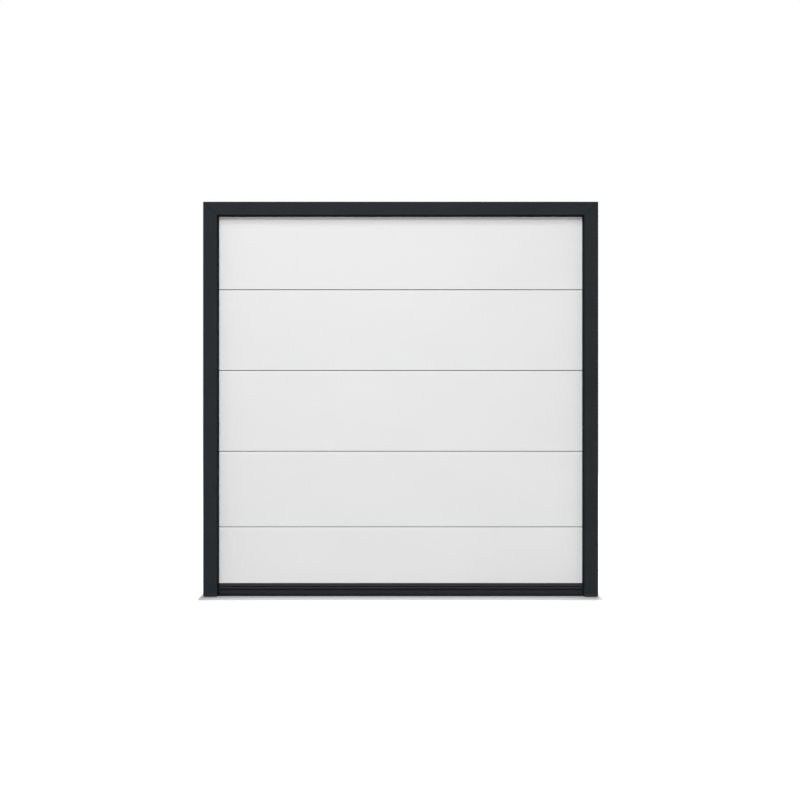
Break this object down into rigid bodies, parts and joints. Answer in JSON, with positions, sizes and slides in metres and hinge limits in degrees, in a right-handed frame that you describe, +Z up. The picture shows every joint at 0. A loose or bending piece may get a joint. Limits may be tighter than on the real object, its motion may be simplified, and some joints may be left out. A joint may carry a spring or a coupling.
{
  "type": "sectional garage door",
  "caption": "Sectional overhead garage door: white insulated leaf in a dark mitred frame, with tracks, rollers and rear torsion springs, closed.",
  "frame": {"origin": "middle of the frame head's top face, which is fixed under the lintel", "axes": "+X right seen from outside, +Y into the garage, +Z up; the outside of the door faces -Y and the floor is at z = -2.42 m"},
  "size_m": [2.46, 2.9495, 2.6],
  "materials": {
    "frame_powder_coat": "satin anthracite powder coat on extruded aluminium",
    "foot_plastic": "moulded foot in the frame's colour",
    "seal_rubber": "matt black EPDM",
    "leaf_white": "smooth satin white coated steel skin",
    "cap_white": "white coated bent steel sheet",
    "zinc_steel": "galvanised pressed and rolled steel",
    "bright_steel": "turned bright steel",
    "nylon": "natural nylon",
    "spring_steel": "oiled spring steel wire",
    "cast_alloy": "die-cast alloy"
  },
  "bodies": {
    "root": {"frame_head": "frame_powder_coat", "frame_leg_left": "frame_powder_coat", "frame_leg_right": "frame_powder_coat", "foot_left": "foot_plastic", "foot_right": "foot_plastic", "side_seal_left": "seal_rubber", "side_seal_right": "seal_rubber", "head_seal": "seal_rubber", "section_1": "leaf_white", "section_2": "leaf_white", "section_3": "leaf_white", "section_4": "leaf_white", "section_5": "leaf_white", "seam_seals": "seal_rubber", "bottom_rail": "frame_powder_coat", "bottom_seal": "seal_rubber", "end_caps_left": "cap_white", "end_caps_right": "cap_white", "centre_hinges": "zinc_steel", "end_hinges_left": "zinc_steel", "end_hinges_right": "zinc_steel", "roller_brackets_left": "zinc_steel", "roller_brackets_right": "zinc_steel", "roller_shafts_left": "bright_steel", "roller_shafts_right": "bright_steel", "roller_wheels_left": "nylon", "roller_wheels_right": "nylon", "vertical_track_left": "zinc_steel", "vertical_track_right": "zinc_steel", "curved_track_left": "zinc_steel", "curved_track_right": "zinc_steel", "horizontal_track_left": "zinc_steel", "horizontal_track_right": "zinc_steel", "upper_track_left": "zinc_steel", "upper_track_right": "zinc_steel", "track_angle_left": "zinc_steel", "track_angle_right": "zinc_steel", "cable_pulley_left": "nylon", "cable_pulley_right": "nylon", "lift_cable_left": "bright_steel", "lift_cable_right": "bright_steel", "spring_shaft": "zinc_steel", "spring_left": "spring_steel", "spring_right": "spring_steel", "spring_cones_left": "cast_alloy", "spring_cones_right": "cast_alloy", "cable_drum_left": "cast_alloy", "cable_drum_right": "cast_alloy", "bearing_plate_left": "zinc_steel", "bearing_plate_right": "zinc_steel", "rear_cross_bar": "zinc_steel", "centre_bearing": "zinc_steel", "ceiling_hangers_left": "zinc_steel", "ceiling_hangers_right": "zinc_steel"}
  },
  "joints": []
}
